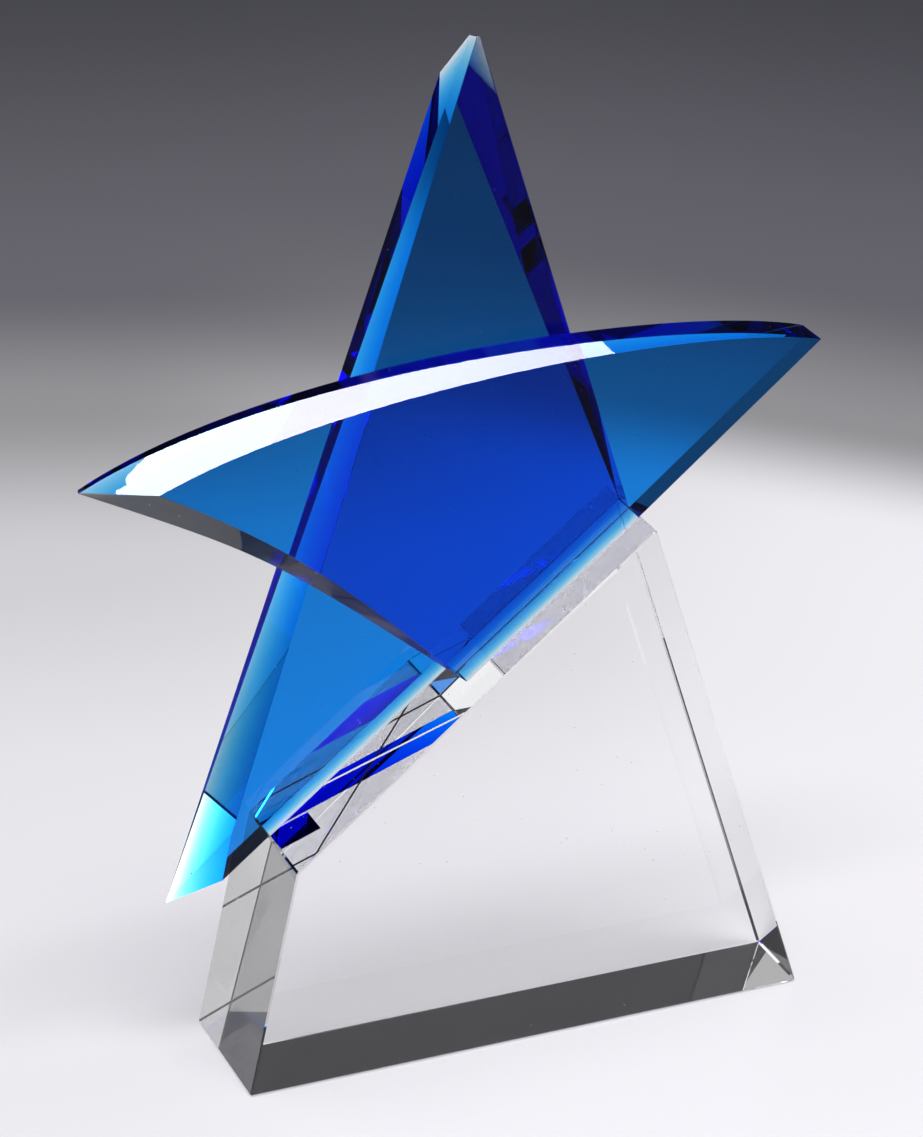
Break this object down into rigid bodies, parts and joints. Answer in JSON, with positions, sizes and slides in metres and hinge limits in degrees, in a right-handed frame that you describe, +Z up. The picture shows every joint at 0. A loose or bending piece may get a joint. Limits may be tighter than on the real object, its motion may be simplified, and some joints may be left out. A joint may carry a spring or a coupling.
{
  "type": "star trophy",
  "caption": "Free-standing glass award: a clear slanted base block carrying two blue glass blades that form a five-pointed star.",
  "frame": {"origin": "middle of the bounding box at the base block's underside", "axes": "+X along the base block towards its high end, +Y from the front face to the back, +Z up"},
  "size_m": [0.1812, 0.038, 0.2502],
  "materials": {
    "clear_glass": "polished optical glass, flat ground faces with fine polished chamfers",
    "blue_glass_spike": "polished blue glass coloured through",
    "blue_glass_wing": "polished blue glass coloured through",
    "uv_adhesive": "clear cured UV adhesive, optically matched to the glass"
  },
  "bodies": {
    "root": {"base_block": "clear_glass", "rear_spike": "blue_glass_spike", "front_wing": "blue_glass_wing", "bond_base_spike": "uv_adhesive", "bond_base_wing": "uv_adhesive", "bond_spike_wing": "uv_adhesive"}
  },
  "joints": []
}
